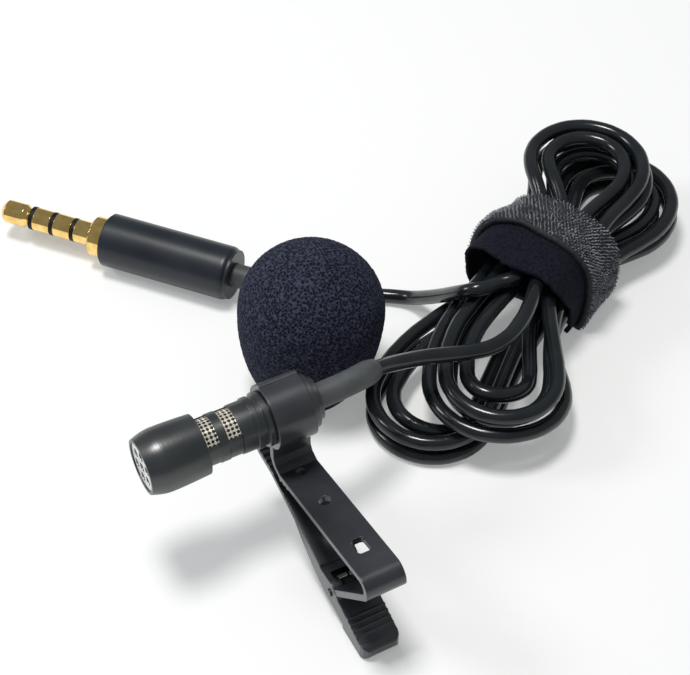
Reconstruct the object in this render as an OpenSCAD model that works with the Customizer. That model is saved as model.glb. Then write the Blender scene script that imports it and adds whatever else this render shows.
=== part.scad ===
// Lavalier microphone with a tie clip, a foam windscreen and a tied cable with a plug.
// Units are millimetres, Z is up, the origin is below the middle of the microphone,
// clip and windscreen, on the surface that they stand on.

/* [Microphone] */
// Height of the microphone axis above the surface
axis_h = 19.1; // [18.2:0.1:22]
// Diameter of the body tube
body_d = 6.4; // [6:0.1:7]
// Diameter of the bore through the body tube
body_bore_d = 4.4; // [3.6:0.1:4.6]
// Length of body tube between the front rim and the neck
front_len = 3.3; // [2:0.1:6]
// How far the two rims stand out beside the clip ring
rim_h = 0.35; // [0.2:0.05:0.6]
// Width of each rim
rim_w = 0.7; // [0.5:0.1:1.2]
// Width of each mesh band
mesh_w = 1.8; // [1:0.1:2]
// Thickness of the mesh
mesh_t = 0.14; // [0.1:0.02:0.2]
// Arc that the mesh shows round the top of the neck, in degrees
mesh_arc = 110; // [100:2:200]
// Outside diameter of the neck under the mesh
neck_d = 5.4; // [5.1:0.1:5.6]
// Width of the ring between the two mesh bands
spacer_w = 1.1; // [1:0.1:3]
// Outside diameter of the ring between the mesh bands
spacer_d = 6.3; // [6.1:0.1:7]
// Length of the head
head_len = 7.6; // [7.6:0.1:12]
// Largest diameter of the head
head_d = 8.2; // [8:0.1:9.5]
// Diameter of the head at its back edge
head_back_d = 7.8; // [7.6:0.1:8]
// Diameter of the head round the front face
face_d = 7.1; // [7:0.1:7.6]
// Length of the rounding behind the front face
face_len = 2.6; // [1.6:0.1:3]
// Thickness of the back wall of the head
head_wall = 1.2; // [0.8:0.1:2]
// Diameter of the capsule
capsule_d = 6.2; // [5.6:0.1:6.4]
// Length of the capsule
capsule_len = 4; // [3:0.1:4.2]
// Thickness of the circuit board behind the capsule
board_t = 0.5; // [0.3:0.1:0.6]
// Thickness of the front grille
grille_t = 0.5; // [0.3:0.1:0.7]
// Depth of the grille behind the front edge
grille_set = 0.15; // [0.1:0.05:0.4]
// Diameter of each hole in the front grille
grille_hole_d = 1.2; // [0.6:0.1:1.3]
// Distance of the outer grille holes from the centre
grille_hole_r = 1.85; // [1.7:0.05:2]
// Number of grille holes round the centre one
grille_holes = 6; // [5:1:6]
// Thickness of the gasket between grille and capsule
gasket_t = 0.6; // [0.4:0.1:0.8]
// Length of the collar behind the clip ring
collar_len = 1.5; // [1.1:0.1:2]
// Diameter of each lead
lead_d = 0.6; // [0.4:0.1:0.8]

/* [Strain relief] */
// Diameter of the strain relief at the microphone
relief_d1 = 5; // [4.4:0.1:5.6]
// Diameter of the strain relief at the cable
relief_d2 = 2.7; // [2.3:0.1:3.4]
// Depth of the grooves in the strain relief
relief_groove = 0.1; // [0.06:0.02:0.3]
// Length of the strain relief
relief_len = 9.2; // [8.6:0.1:10.4]
// Droop of its end
relief_drop = 1.1; // [0.8:0.05:1.4]
// Lean of its end to the side
relief_side = 1.5; // [1.2:0.05:1.8]

/* [Clip] */
// Width of the clip
clip_w = 5.2; // [4.8:0.1:6]
// Wall of the ring round the body tube
ring_wall = 0.95; // [0.8:0.05:1.3]
// Thickness of the clip's strip
strip_t = 0.85; // [0.7:0.05:1]
// Thickness of the lever's strip
lever_t = 0.8; // [0.7:0.05:0.9]
// How far the neck stands in front of the ring's centre
neck_out = 1.5; // [1:0.1:2]
// Drop from the microphone axis to the bend of the upper arm
neck_drop = 7.8; // [7.5:0.1:8]
// Length of the flat upper arm
arm_len = 21.2; // [20.4:0.1:22]
// Slope of the upper arm, in degrees
arm_rise = 13.4; // [12:0.2:15]
// Radius of the nose where the upper arm turns back
nose_r = 1.4; // [1.1:0.1:1.8]
// Diameter of the hole in the upper arm
arm_hole_d = 1.6; // [1.4:0.1:2.4]
// Distance of that hole from the bend
arm_hole_at = 7.5; // [5:0.1:9]
// Length of the slot in the upper arm
slot_len = 2.6; // [2:0.1:3.4]
// Width of the slot
slot_w = 1.7; // [1.2:0.1:2]
// Radius of the slot's corners
slot_round = 0.4; // [0.2:0.05:0.55]
// Distance of the slot from the bend
slot_at = 16.9; // [14:0.1:18]
// Distance of the pivot in front of the ring's centre
pivot_out = 17; // [16:0.1:18]
// Height of the pivot above the surface
pivot_h = 3.6; // [3.3:0.1:4]
// Diameter of the pivot pin
pin_d = 1; // [0.8:0.05:1.2]
// Radius of the upper arm's eyes round the pin
eye_r = 1.5; // [1.3:0.1:1.7]
// Radius of the lever's ears round the pin
ear_r = 2.1; // [1.9:0.1:2.3]
// Thickness of each ear
ear_t = 0.8; // [0.6:0.05:0.9]
// Width of each eye
eye_w = 0.6; // [0.4:0.05:0.7]
// Height of the lower jaw's tip above the surface
jaw_h = 9.5; // [9.2:0.1:9.7]
// How far the lower jaw reaches behind the ring's centre
jaw_reach = 3; // [2:0.1:3.5]
// Radius of the jaws' teeth
tooth_r = 0.28; // [0.2:0.02:0.3]
// Spacing of the teeth
tooth_pitch = 0.95; // [0.8:0.05:1.1]
// Number of teeth on the lower jaw
teeth = 5; // [3:1:5]
// Length of the thumb pad beyond the pivot
pad_len = 9; // [8:0.1:9.6]
// Number of ridges on the thumb pad
ridges = 5; // [3:1:6]
// Radius of the ridges
ridge_r = 0.2; // [0.15:0.05:0.4]
// Radius of the thumb pad's corners
pad_round = 1.2; // [0.6:0.1:1.6]
// Thickness of the spring wire
wire_d = 0.32; // [0.26:0.02:0.36]
// Radius of the spring's turns
coil_r = 0.95; // [0.85:0.05:1.05]
// Number of turns of the spring
coil_turns = 3; // [2:1:3]

/* [Windscreen] */
// Largest radius of the foam
foam_r = 10; // [9:0.1:10.4]
// Height of its widest place
foam_mid = 14.3; // [13:0.1:16]
// Height of the foam above its flat base
foam_h = 24; // [22:0.1:28]
// Length that the lower half would have as a full half egg
foam_low = 17.4; // [16.6:0.1:20]
// How far the foam leans, in degrees
foam_lean = 5.5; // [0:0.5:8]
// Diameter of the opening
foam_bore_d = 7; // [6:0.1:8]
// Depth of the opening
foam_bore_len = 15; // [12:0.5:18]
// Place of the foam's base beside the clip ring
foam_x = 11.2; // [10.5:0.1:13]
// Place of the foam's base behind the microphone axis
foam_y = 17.2; // [16.6:0.1:19]

/* [Cable] */
// Diameter of the cable
cord_d = 2.1; // [1.6:0.05:2.2]
// Thickness of the tie
tie_t = 1.2; // [0.8:0.1:1.5]
// Where the tie starts, measured along the hank from its middle
tie_near = -4.4; // [-5:0.1:-3.6]
// Width of the tie
tie_w = 10; // [9:0.1:12]
// Half the room inside the tie across the hank
tie_room = 8.2; // [8:0.1:9]

/* [Plug] */
// Height of the plug's axis above the surface
plug_h = 4.05; // [4.02:0.01:4.6]
// Diameter of the contacts
barrel_d = 3.5; // [3.3:0.05:3.6]
// Length from the collar to the tip
barrel_len = 15; // [14:0.1:17]
// Diameter of the collar
collar_d = 5.9; // [5:0.1:6]
// Length of the collar
plug_collar_len = 2.3; // [1.5:0.1:3]
// Diameter of the housing
housing_d = 7.9; // [7:0.1:8]
// Length of the housing
housing_len = 20.2; // [18:0.1:22]
// Radius of the housing's rear edge
housing_round = 1.2; // [0.8:0.1:1.6]
// Diameter of the sleeve behind the housing
stub_d = 3.5; // [3:0.1:4.2]
// Length of the sleeve behind the housing
stub_len = 3.6; // [2.6:0.1:4]
// Diameter of the core inside the contacts
core_d = 1.4; // [1:0.1:1.8]
// Width of each insulating ring
insul_w = 0.7; // [0.4:0.05:0.8]
// Length of the pointed tip contact
tip_len = 4.8; // [2.8:0.1:5]
// Length of each ring contact
contact_len = 2.7; // [2.4:0.05:3.1]

/* [Clearances] */
// Running clearance between the clip ring and the body tube
ring_fit = 0.06; // [0.03:0.01:0.1]
// Clearance at each side of the clip ring
side_gap = 0.12; // [0.08:0.02:0.3]
// Clearance between pieces that are assembled into each other
seat_gap = 0.04; // [0.02:0.01:0.08]
// Running clearance round the pivot pin
pin_fit = 0.05; // [0.03:0.01:0.09]
// Side clearance between ears, eyes and spring
leaf_gap = 0.12; // [0.08:0.02:0.16]

/* [Hidden] */

// Stations along the microphone axis; the clip ring's middle is at 0
x_rim = clip_w / 2 + side_gap;
x_front = -(x_rim + rim_w + front_len);
x_spacer = x_front - mesh_w - spacer_w;
x_back = x_spacer - mesh_w;
x_face = x_back - head_len;
x_grille = x_face + grille_set;
x_gasket = x_grille + grille_t;
x_capsule = x_gasket + gasket_t;
x_board = x_capsule + capsule_len;
x_tail = x_rim + collar_len;
rim_d = body_d + 2 * rim_h;
head_bore_d = capsule_d + 2 * seat_gap;
mesh_in_d = neck_d + 2 * seat_gap;
mesh_out_d = mesh_in_d + 2 * mesh_t;
spacer_in_d = mesh_out_d + 2 * seat_gap;
neck_plug = head_wall - seat_gap;

// Foam profile: radius at a height, an egg of two half ellipses cut flat below
function foam_at(z) = z < foam_mid
    ? foam_r * sqrt(max(0, 1 - pow((foam_mid - z) / foam_low, 2)))
    : foam_r * sqrt(max(0, 1 - pow((z - foam_mid) / (foam_h - foam_mid), 2)));
foam_below = 2;
foam_rings = 26;
foam_zs = [for (i = [0 : foam_rings]) let (a = i / foam_rings)
    -foam_below + (foam_h + foam_below) * (1 - pow(1 - a, 1.7))];
function foam_reach(f) = max([for (z = foam_zs)
    z * sin(foam_lean) * f + foam_at(z) * sqrt(1 - pow(sin(foam_lean) * (1 - f), 2) * f)]);
foam_turn = 8;

// Clip points in the plane across the microphone axis: y, z
cz = axis_h;
bend = [-(neck_out + 2.1), cz - neck_drop];
arm_dir = [-cos(arm_rise), sin(arm_rise)];
arm_down = [-sin(arm_rise), -cos(arm_rise)];
arm_end = bend + arm_len * arm_dir;
nose_c = arm_end + nose_r * arm_down;
pivot = [-pivot_out, pivot_h];
nose_far = norm(pivot - nose_c);
nose_a = atan2(pivot[1] - nose_c[1], pivot[0] - nose_c[0]) - acos(nose_r / nose_far);
nose_end = nose_c + nose_r * [cos(nose_a), sin(nose_a)];
nose_start_a = atan2(-arm_down[1], -arm_down[0]);
nose_steps = 18;
nose_pts = [for (i = [1 : nose_steps - 1])
    let (a = nose_start_a + (nose_a + 360 - nose_start_a) * i / nose_steps) nose_c + nose_r * [cos(a), sin(a)]];

// Where the part's own origin lies
min_x = x_face;
max_x = foam_x + foam_reach(cos(foam_turn));
min_y = min(-pivot_out - pad_len, nose_c[0] - nose_r - strip_t / 2);
max_y = foam_y + foam_reach(sin(foam_turn));
shift = [-(min_x + max_x) / 2, -(min_y + max_y) / 2, 0];

// Sizes of the eyes, ears and spring along the pivot
ear_in = clip_w / 2 - ear_t;
eye_out = ear_in - leaf_gap;
eye_in = eye_out - eye_w;

// Colours
c_metal = [0.74, 0.73, 0.70];
c_black = [0.10, 0.10, 0.12];
c_dark = [0.16, 0.17, 0.19];
c_cable = [0.07, 0.07, 0.10];
c_foam = [0.09, 0.09, 0.14];
c_gold = [0.80, 0.62, 0.30];
c_green = [0.10, 0.32, 0.20];
$fn = 48;

// ---- shared shapes ----
// Solid or hollow turned piece along the microphone axis from x0 to x1
module along_axis(x0) {
    translate(shift + [x0, 0, cz]) rotate([0, 90, 0]) children();
}
module tube(len, d_out, d_in) {
    difference() {
        cylinder(h = len, d = d_out);
        translate([0, 0, -1]) cylinder(h = len + 2, d = d_in);
    }
}
// A strip of even thickness through points in a plane
module strip(pts, t) {
    for (i = [0 : len(pts) - 2]) {
        v = pts[i + 1] - pts[i];
        translate(pts[i]) rotate(atan2(v[1], v[0])) translate([0, -t / 2]) square([norm(v), t]);
        translate(pts[i]) circle(d = t);
    }
    translate(pts[len(pts) - 1]) circle(d = t);
}
// Stands a profile drawn in y and z across the microphone axis, between x0 and x1
module across(x0, x1) {
    translate(shift + [x0, 0, 0]) rotate([90, 0, 90]) linear_extrude(x1 - x0) children();
}
// Frame of the upper arm: origin on the bend, x along the arm, z out of its face
module on_arm(at) {
    p = bend + at * arm_dir;
    translate(shift + [0, p[0], p[1]]) rotate([-arm_rise, 0, 0]) children();
}
function unit(v) = v / norm(v);
// A tube of n sides swept through points; the first and last directions are given
function tangent(p, i, t0, t1) = i == 0 ? unit(t0)
    : i == len(p) - 1 ? unit(t1) : unit(unit(p[i + 1] - p[i]) + unit(p[i] - p[i - 1]));
function ring_pts(c, t, r, n) =
    let (s = unit(cross([0, 0, 1], t)), u = cross(t, s))
    [for (k = [0 : n - 1]) c + r * (cos(360 * k / n) * s + sin(360 * k / n) * u)];
module swept(p, r, n, t0, t1) {
    m = len(p);
    verts = [for (i = [0 : m - 1])
        each ring_pts(p[i], tangent(p, i, t0, t1), is_list(r) ? r[i] : r, n)];
    sides = [for (i = [0 : m - 2]) for (k = [0 : n - 1])
        let (a = i * n + k, b = i * n + (k + 1) % n)
        each [[a, a + n, b + n], [a, b + n, b]]];
    caps = [for (k = [1 : n - 2]) each [[0, k, k + 1],
        [(m - 1) * n, (m - 1) * n + k + 1, (m - 1) * n + k]]];
    polyhedron(points = verts, faces = concat(sides, caps), convexity = 12);
}
// A smooth route through points, each stretch in n steps
function spline(p, n) = concat([for (i = [0 : len(p) - 2]) for (k = [0 : n - 1])
    let (t = k / n, a = p[max(0, i - 1)], b = p[i], c = p[i + 1], d = p[min(len(p) - 1, i + 2)])
    0.5 * (2 * b + t * (c - a) + t * t * (2 * a - 5 * b + 4 * c - d)
    + t * t * t * (3 * b - a - 3 * c + d))], [p[len(p) - 1]]);

// ---- the microphone ----
// Head with its barrel-shaped shell, bored for the capsule
head_steps = 8;
module head_shell() {
    color(c_black) along_axis(x_face) difference() {
        rotate_extrude() polygon(concat([[0, 0]],
            [for (i = [0 : head_steps]) let (a = 90 * i / head_steps)
                [mix(face_d, head_d, sin(a)) / 2, face_len * i / head_steps]],
            [for (i = [1 : head_steps]) let (a = 90 * i / head_steps)
                [mix(head_d, head_back_d, 1 - cos(a)) / 2, mix(face_len, head_len, i / head_steps)]],
            [[0, head_len]]));
        translate([0, 0, -1]) cylinder(h = head_len - head_wall + 1, d = head_bore_d);
        cylinder(h = head_len + 1, d = neck_d + 2 * seat_gap);
    }
}
module front_grille() {
    color(c_metal) along_axis(x_grille) difference() {
        cylinder(h = grille_t, d = capsule_d);
        translate([0, 0, -1]) cylinder(h = grille_t + 2, d = grille_hole_d);
        for (i = [0 : grille_holes - 1])
            rotate(360 * i / grille_holes) translate([grille_hole_r, 0, -1])
                cylinder(h = grille_t + 2, d = grille_hole_d);
    }
}
module grille_gasket() {
    color(c_dark) along_axis(x_gasket) tube(gasket_t, capsule_d, capsule_d - 1);
}
module capsule() {
    color(c_metal) along_axis(x_capsule) difference() {
        cylinder(h = capsule_len, d = capsule_d);
        translate([0, 0, -1]) cylinder(h = 1.4, d = capsule_d / 3);
    }
}
module capsule_board() {
    color(c_green) along_axis(x_board) cylinder(h = board_t, d = capsule_d);
}
// Body tube with the neck that plugs into the head, and the front rim
module body_tube() {
    color(c_black) difference() {
        union() {
            along_axis(x_back - neck_plug) cylinder(h = x_front - x_back + neck_plug + 1, d = neck_d);
            along_axis(x_front) cylinder(h = x_rim - x_front, d = body_d);
            along_axis(-x_rim - rim_w) cylinder(h = rim_w, d = rim_d);
            along_axis(-x_rim - 3 * rim_w) cylinder(h = rim_w, d = body_d + rim_h);
        }
        along_axis(x_back - neck_plug - 1) cylinder(h = x_tail - x_back + 4, d = body_bore_d);
        for (x = [x_spacer - mesh_w, x_front - mesh_w]) for (a = [-40 : 40 : 40])
            translate(shift + [x + mesh_w / 2, 0, cz]) rotate([a, 0, 0])
                cylinder(h = neck_d, d = mesh_w * 0.6);
    }
}
module mesh_sleeve() {
    color(c_metal) along_axis(x_back + seat_gap)
        tube(x_front - x_back - 2 * seat_gap, mesh_out_d, mesh_in_d);
}
// Ring between the mesh bands, with the cheek that closes them underneath
module spacer_ring() {
    color(c_black) {
        difference() {
            union() {
                along_axis(x_spacer) cylinder(h = spacer_w, d = spacer_d);
                along_axis(x_back + seat_gap) rotate(-(360 - mesh_arc) / 2)
                    rotate_extrude(angle = 360 - mesh_arc)
                    square([spacer_d / 2 - 0.1, x_front - x_back - 2 * seat_gap]);
            }
            along_axis(x_back - 1) cylinder(h = x_front - x_back + 2, d = spacer_in_d);
        }
    }
}
// Collar that closes the tube behind the clip ring
module rear_collar() {
    color(c_black) difference() {
        union() {
            along_axis(x_rim) cylinder(h = rim_w, d = rim_d);
            along_axis(x_rim) cylinder(h = collar_len, d = body_d - 2 * rim_h);
            along_axis(x_rim - collar_len) cylinder(h = collar_len, d = body_bore_d - 2 * seat_gap);
        }
        along_axis(x_rim - collar_len - 1) cylinder(h = 2 * collar_len + 2, d = body_bore_d - 1.2);
    }
}
module lead_wires() {
    x_lead = x_board + board_t;
    color([0.6, 0.15, 0.12]) for (s = [-1, 1])
        along_axis(x_lead) translate([0, s * lead_d, 0])
            cylinder(h = x_tail - x_lead, d = lead_d, $fn = 16);
}
// Strain relief: a grooved sleeve that droops a little towards the cable
relief_way = [[x_tail, 0, cz], [x_tail + relief_len * 0.348, relief_side * 0.033, cz],
    [x_tail + relief_len * 0.674, relief_side / 3, cz - relief_drop * 0.273],
    [x_tail + relief_len, relief_side, cz - relief_drop]];
relief_t1 = unit([3, 1.15, -1.1]);
relief_end = relief_way[3];
relief_n = 24;
module strain_relief() {
    p = spline(relief_way, relief_n / 3);
    r = [for (i = [0 : relief_n]) let (g = i % 4 == 2 && i > 4 && i < relief_n - 1 ? 1 : 0)
        (relief_d1 + (relief_d2 - relief_d1) * i / relief_n) / 2 - g * relief_groove];
    color(c_dark) translate(shift) swept(p, r, 20, [1, 0, 0], relief_t1);
}

// ---- the clip ----
// A bent strip of thickness t along the points p, its corners mitred
function ribbon_side(p, t) = [for (i = [0 : len(p) - 1])
    let (last = len(p) - 1,
        a = i == 0 ? unit(p[1] - p[0]) : unit(p[i] - p[i - 1]),
        b = i == last ? a : unit(p[i + 1] - p[i]),
        m = unit(a + b))
    p[i] + t / 2 / (m * a) * [-m[1], m[0]]];
module ribbon(p, t) {
    back = ribbon_side(p, -t);
    polygon(concat(ribbon_side(p, t), [for (i = [len(p) - 1 : -1 : 0]) back[i]]));
}
// Ring, neck, upper arm, nose and the return strip with its two eyes
module clip_frame() {
    ring_r = body_d / 2 + ring_fit;
    color(c_dark) difference() {
        union() {
            difference() {
                across(-clip_w / 2, clip_w / 2) {
                    translate([0, cz]) circle(r = ring_r + ring_wall);
                    ribbon(concat([[-neck_out, cz - ring_r - ring_wall / 2], [-neck_out, bend[1] + 1.6],
                        [-neck_out - 0.6, bend[1] + 0.6], bend, arm_end], nose_pts, [nose_end, pivot]), strip_t);
                }
                // room for the lever's ears beside the eyes
                across(eye_out, clip_w) translate(pivot) circle(r = ear_r + 2 * leaf_gap);
                across(-clip_w, -eye_out) translate(pivot) circle(r = ear_r + 2 * leaf_gap);
            }
            across(-eye_out, eye_out) translate(pivot) circle(r = eye_r);
            // teeth of the upper jaw
            across(-clip_w / 2, clip_w / 2) for (i = [0 : 2])
                translate(bend + i * tooth_pitch * arm_dir + strip_t / 2 * arm_down)
                    circle(r = tooth_r, $fn = 16);
            // lip at the top of the ring
            across(-clip_w / 2, clip_w / 2)
                translate([ring_r * 0.5, cz + ring_r + ring_wall * 0.45]) circle(r = 0.55, $fn = 24);
        }
        across(-clip_w, clip_w) translate([0, cz]) circle(r = ring_r);
        // room for the spring between the eyes, and the pin's bore
        across(-eye_in, eye_in) translate(pivot) circle(r = max(eye_r, coil_r + wire_d / 2) + leaf_gap);
        across(-clip_w, clip_w) translate(pivot) circle(d = pin_d + 2 * pin_fit);
        // hole, slot and dimple in the upper arm
        on_arm(arm_hole_at) translate([0, 0, -2]) cylinder(h = 4, d = arm_hole_d);
        on_arm(slot_at) translate([0, 0, -2]) linear_extrude(4) polygon([for (c = [0 : 3]) for (a = [0 : 30 : 90])
            [(c == 0 || c == 3 ? 1 : -1) * (slot_w / 2 - slot_round) + slot_round * cos(90 * c + a),
            (c < 2 ? 1 : -1) * (slot_len / 2 - slot_round) + slot_round * sin(90 * c + a)]]);
        on_arm(1) translate([0, 0, strip_t / 2 + 0.5]) rotate([0, 90, 0]) sphere(r = 0.9, $fn = 32);
    }
}
// Lower jaw, flanges, ears and thumb pad in one lever
jaw_knee = [-0.9, jaw_h - 0.15];
jaw_root = [-pivot_out + 3, pivot_h + ear_r - lever_t / 2 + 0.1];
jaw_fold = jaw_knee + 0.44 * (jaw_root - jaw_knee);
jaw_tip = [jaw_reach - lever_t / 2, jaw_h + 0.05];
// The point s along the jaw from its tip, and out from its middle
function jaw_at(s, out) = let (l = norm(jaw_knee - jaw_tip),
    a = s < l ? jaw_tip : jaw_knee, v = unit(s < l ? jaw_knee - jaw_tip : jaw_root - jaw_knee))
    a + (s < l ? s : s - l) * v + out * [v[1], -v[0]];
pad_end = [-pivot_out - pad_len + 1.2, 1.3];
pad_top = [-pivot_out - ear_r - 1.2, pivot_h + 0.35];
module clip_lever() {
    color(c_dark) difference() {
        across(-clip_w / 2, clip_w / 2) {
            strip([jaw_tip, jaw_knee, jaw_root], lever_t);
            // ears and flanges
            translate(pivot) circle(r = ear_r);
            polygon([jaw_fold, jaw_root, pivot + [0.4, ear_r - 0.1], pivot + [0, -ear_r + 0.1],
                pivot + [1.6, -ear_r + 0.3], pivot + [4.4, -0.6], jaw_fold + [-2.4, -2.2]]);
            // thumb pad, its rounded end and its ridges
            polygon([pivot + [-1.8, 0.85], pad_top, pad_end + [0.2, 1.1], pad_end + [0, -1.15],
                pivot + [0, -ear_r + 0.1]]);
            polygon([pad_top, pad_end + [0.2, 1.1], pad_end + [0, -1.15], [pad_top[0], 0.2]]);
            translate(pad_end) circle(r = 1.2);
            for (i = [0 : ridges - 1])
                translate(mix(pad_end + [0.4, 1.05], pad_top + [-0.5, -0.05], i / ridges))
                    circle(r = ridge_r, $fn = 16);
            // teeth of the lower jaw
            for (i = [0 : teeth - 1]) translate(jaw_at(tooth_r / 2 + i * tooth_pitch, lever_t / 2 - 0.05))
                circle(r = tooth_r, $fn = 16);
        }
        // channel between the ears and the flanges
        across(-ear_in, ear_in) {
            translate(pivot) circle(r = ear_r + leaf_gap);
            polygon([pivot + [-0.8, ear_r + 0.8], jaw_root + [0, -lever_t / 2 - 0.2],
                jaw_fold + [-1.2, -lever_t / 2 - 0.5], jaw_fold + [-2.3, -1.5], pivot + [4.4, 0.1],
                pivot + [2.2, -0.75], [-pivot_out + 2.2, -1], [-pivot_out - 0.9, -1]]);
        }
        // rounded corners of the thumb pad
        for (s = [-1, 1]) translate(shift + [s * (clip_w / 2 - pad_round), -pivot_out - pad_len + pad_round, -1])
            scale([s, 1, 1]) linear_extrude(8) polygon([[-pad_round, -1.268 * pad_round], [0.5, -0.866] * pad_round,
                [0.866, -0.5] * pad_round, [1.268, 1] * pad_round, [3, 1] * pad_round, [3, -3] * pad_round,
                [-1, -3] * pad_round]);
        across(-clip_w, clip_w) translate(pivot) circle(d = pin_d + 2 * seat_gap);
    }
}
module pivot_pin() {
    color(c_metal) across(-clip_w / 2 - 0.2, clip_w / 2 + 0.2) translate(pivot) circle(d = pin_d);
}
// Torsion spring: turns round the pin, one leg on the return strip, one under the jaw
module torsion_spring() {
    w = 2 * (eye_in - leaf_gap) - wire_d;
    up = unit(nose_end - pivot);
    a0 = atan2(up[1], up[0]) + 90;
    a1 = 286 - a0;
    n = 12;
    sweep = 360 * coil_turns + a1;
    steps = n * coil_turns + 2;
    turns = [for (i = [0 : steps]) let (a = a0 + sweep * i / steps)
        [-w / 2 + w * i / steps, pivot[0] + coil_r * cos(a), pivot[1] + coil_r * sin(a)]];
    first = turns[0];
    last = turns[steps];
    way = concat([first + 2.4 * [0, up[0], up[1]], first + 1.2 * [0, up[0], up[1]]], turns,
        [last + [0, 1.6, 0.6], last + [0, 4, 1.7]]);
    color(c_metal) translate(shift) spring_wire(way);
}
// The wire is swept with rings square to the pivot's plane
module spring_wire(p) {
    m = len(p);
    n = 6;
    verts = [for (i = [0 : m - 1]) let (t = tangent(p, i, p[1] - p[0], p[m - 1] - p[m - 2]),
        s = unit(cross([1, 0, 0], t)), u = cross(t, s))
        each [for (k = [0 : n - 1])
            p[i] + wire_d / 2 * (cos(360 * k / n) * s + sin(360 * k / n) * u)]];
    sides = [for (i = [0 : m - 2]) for (k = [0 : n - 1])
        let (a = i * n + k, b = i * n + (k + 1) % n)
        each [[a, a + n, b + n], [a, b + n, b]]];
    caps = [for (k = [1 : n - 2]) each [[0, k, k + 1],
        [(m - 1) * n, (m - 1) * n + k + 1, (m - 1) * n + k]]];
    polyhedron(points = verts, faces = concat(sides, caps), convexity = 6);
}

// ---- the windscreen ----
// Leaning egg of foam, cut flat below, with an upright opening
module foam_windscreen() {
    color(c_foam) translate(shift + [foam_x, foam_y, 0]) difference() {
        rotate(foam_turn) rotate([0, foam_lean, 0]) rotate_extrude($fn = 64)
            polygon(concat([[0, -foam_below]], [for (z = foam_zs) [foam_at(z), z]]));
        translate([-50, -50, -100]) cube([100, 100, 100]);
        translate([0, 0, -1]) cylinder(h = foam_bore_len + 1, d = foam_bore_d);
    }
}

// ---- the cable ----
// The hank lies in four layers of two loops; its middle, direction and half run
hank_c = [50.65, 16.75];
hank_dir = 17;
hank_run = 3;
hank_step = 2.65;
waist_step = 3.15;
waist_h = 2.8;
waist_rise = 2.65;
reach_in = 0.42;
hank_rings = 12;
// For each layer, lowest first: along, across, radius, turn and height of its lobe
near_lobes = [[26.6, 0, 10, 14, 1], [26.3, 0.3, 10, 14, 3.7],
    [21.6, 2.7, 8.7, 24, 6.5], [22.4, 3.1, 9.4, 24, 9.2]];
far_lobes = [[14, -1, 9, 12, 3.4], [13.6, -0.3, 9, 18, 6.3],
    [12.6, 0.2, 8.8, 24, 9.3], [11.8, 1.2, 8.8, 30, 12.4]];
layer_turn = [8, 8, 17.5, 19];
waist = [6, 6.4, 6.1, 5.3];
function ease(x) = (1 - cos(180 * min(1, max(0, x)))) / 2;
function rot(a) = [cos(a), sin(a)];
function mix(a, b, g) = a * (1 - g) + b * g;
function bez(a, b, c, d, t) = pow(1 - t, 3) * a + 3 * pow(1 - t, 2) * t * b
    + 3 * (1 - t) * t * t * c + pow(t, 3) * d;
// One point of a half turn: side 1 is the far end; layers k0 to k1, steps inward q0 to q1
function half_at(side, k0, k1, q0, q1, f) =
    let (climb = k0 != k1,
        inner = climb && q0 > 1,
        gp = !climb ? 0 : inner ? ease((f - 0.2) / 0.5) : ease((f - 0.75) / 0.25),
        gz = !climb ? 0 : inner ? ease((f - 0.42) / 0.45) : ease((f - 0.5) / 0.38),
        q = mix(q0, q1, f) + (!climb ? 0 : inner ? 0.28 : -0.25) * sin(180 * f),
        lobes = side > 0 ? far_lobes : near_lobes,
        l = mix(lobes[k0], lobes[k1], gp),
        top = mix(lobes[k0][4], lobes[k1][4], gz),
        zw = waist_h + waist_rise * mix(k0, k1, gz),
        w = mix(waist[k0], waist[k1], gp) - waist_step * q,
        r = l[2] - hank_step * q,
        psi = (side > 0 ? hank_dir : hank_dir + 180) + mix(layer_turn[k0], layer_turn[k1], gp),
        e1 = rot(psi),
        e2 = rot(psi + 90),
        c = [l[0], l[1]],
        d = rot(l[3]),
        nn = rot(l[3] + 90),
        s = f > 0.75 ? 1 : -1,
        t = f < 0.25 ? f / 0.25 : (1 - f) / 0.25,
        p0 = [0, s * w],
        e = c + s * r * nn,
        h = reach_in * norm(e - p0),
        a = (f - 0.25) / 0.5 * 180,
        arc = f >= 0.25 && f <= 0.75,
        p = arc ? c + r * (sin(a) * d - cos(a) * nn) : bez(p0, p0 + [h, 0], e - h * d, e, t),
        zz = arc ? 1 : ease(t),
        xy = hank_c + hank_run * e1 + p[0] * e1 + p[1] * e2)
    [xy[0], xy[1], mix(zw, top, zz)];
// The half turns in order, from the top layer down; the spiral reverses in each layer
hank_turns = [for (k = [3 : -1 : 0]) let (out = k % 2 == 0)
    each concat([[1, k, k, out ? 1.5 : 0, out ? 1 : 0.5],
        [-1, k, k, out ? 1 : 0.5, out ? 0.5 : 1],
        [1, k, k, out ? 0.5 : 1, out ? 0 : 1.5]],
        k > 0 ? [[-1, k, k - 1, out ? 0 : 1.5, out ? 0 : 1.5]] : [])];
hank_lead = 4.5;
hank_t0 = rot(hank_dir + layer_turn[3]);
hank_t1 = -rot(hank_dir + layer_turn[0]);
hank_in = hank_c - (hank_run + hank_lead) * hank_t0 - waist[3] * [-hank_t0[1], hank_t0[0]];
hank_out = hank_c + (hank_run + 2) * hank_t1 + waist[0] * [hank_t1[1], -hank_t1[0]];
hank_start = [hank_in[0], hank_in[1], waist_h + 3 * waist_rise];
hank_end = [hank_out[0], hank_out[1], waist_h];
hank_way = concat([hank_start],
    [for (s = hank_turns) for (i = [0 : hank_rings - 1])
        half_at(s[0], s[1], s[2], s[3], s[4], i / hank_rings)],
    [let (s = hank_turns[len(hank_turns) - 1]) half_at(s[0], s[1], s[2], s[3], s[4], 1)],
    [hank_end]);
function to_line(p, a, b) = let (v = b - a, t = min(1, max(0, (p - a) * v / (v * v))))
    norm(p - a - t * v);
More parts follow.
